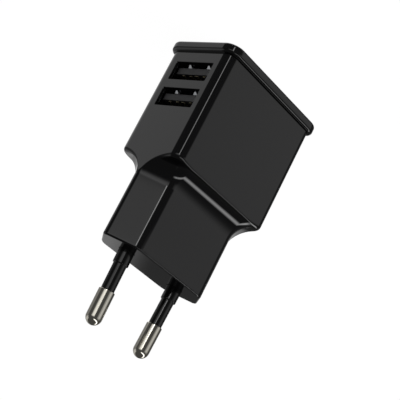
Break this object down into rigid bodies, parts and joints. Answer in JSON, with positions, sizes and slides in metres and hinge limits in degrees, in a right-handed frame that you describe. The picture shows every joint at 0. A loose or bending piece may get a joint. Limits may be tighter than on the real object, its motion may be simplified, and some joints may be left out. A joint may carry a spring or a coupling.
{
  "type": "usb wall charger",
  "caption": "Glossy black two-pin mains wall charger with stacked USB-A sockets on a narrow side, a flared shoulder down to the plug nose and a rimmed rear cap.",
  "frame": {"origin": "middle of the flat back of the rear cap, which the charger stands on", "axes": "+Z from the rear cap to the mains pins, +X out of the narrow face with the USB sockets, +Y out of the rear broad face"},
  "size_m": [0.0376, 0.023, 0.0718],
  "materials": {
    "gloss_black_plastic": "high gloss moulded plastic",
    "nickel_plated_brass": "polished nickel plate",
    "black_sleeve_plastic": "smooth moulded sleeve",
    "dark_plastic": "matte moulded plastic",
    "red_wire_cover": "flexible wire insulation",
    "tinned_copper": "tinned, dull bright",
    "green_board": "solder mask on glass-epoxy board",
    "stainless_shell": "folded bright sheet steel",
    "grey_connector_plastic": "moulded connector insulator",
    "gold_contact": "gold-flashed contact",
    "ferrite": "sintered ferrite",
    "copper_winding": "enamelled copper wire",
    "yellow_tape": "polyester tape",
    "capacitor_aluminium": "drawn aluminium can",
    "capacitor_sleeve_dark": "shrink sleeve",
    "capacitor_sleeve_teal": "shrink sleeve",
    "rubber_seal": "moulded rubber",
    "package_black": "moulded chip package",
    "resistor_coating": "flameproof coating",
    "blue_ceramic_coating": "epoxy-dipped ceramic",
    "chip_ceramic": "ceramic chip parts",
    "solder": "solder",
    "insulating_paper": "fish paper"
  },
  "bodies": {
    "root": {"main_housing": "gloss_black_plastic", "rear_cap": "gloss_black_plastic", "pin_a": "nickel_plated_brass", "pin_b": "nickel_plated_brass", "pin_sleeve_a": "black_sleeve_plastic", "pin_sleeve_b": "black_sleeve_plastic", "pin_retainer": "dark_plastic", "input_wires": "red_wire_cover", "wire_strands": "tinned_copper", "circuit_board": "green_board", "usb_shell_1": "stainless_shell", "usb_shell_2": "stainless_shell", "usb_insulator_1": "grey_connector_plastic", "usb_insulator_2": "grey_connector_plastic", "usb_contacts_1": "gold_contact", "usb_contacts_2": "gold_contact", "transformer_core": "ferrite", "transformer_bobbin": "dark_plastic", "transformer_winding": "copper_winding", "transformer_tape": "yellow_tape", "transformer_pins": "tinned_copper", "bulk_capacitor_cans": "capacitor_aluminium", "bulk_capacitor_sleeves": "capacitor_sleeve_dark", "bulk_capacitor_seals": "rubber_seal", "bulk_capacitor_leads": "tinned_copper", "output_capacitor_cans": "capacitor_aluminium", "output_capacitor_sleeves": "capacitor_sleeve_teal", "output_capacitor_seals": "rubber_seal", "output_capacitor_leads": "tinned_copper", "bridge_rectifier": "package_black", "controller_chip": "package_black", "output_diode": "package_black", "package_leads": "tinned_copper", "fuse_resistor": "resistor_coating", "fuse_resistor_leads": "tinned_copper", "y_capacitor": "blue_ceramic_coating", "y_capacitor_leads": "tinned_copper", "choke_core": "ferrite", "choke_winding": "copper_winding", "choke_leads": "tinned_copper", "chip_parts": "chip_ceramic", "solder_joints": "solder", "insulation_sheet": "insulating_paper"}
  },
  "joints": []
}
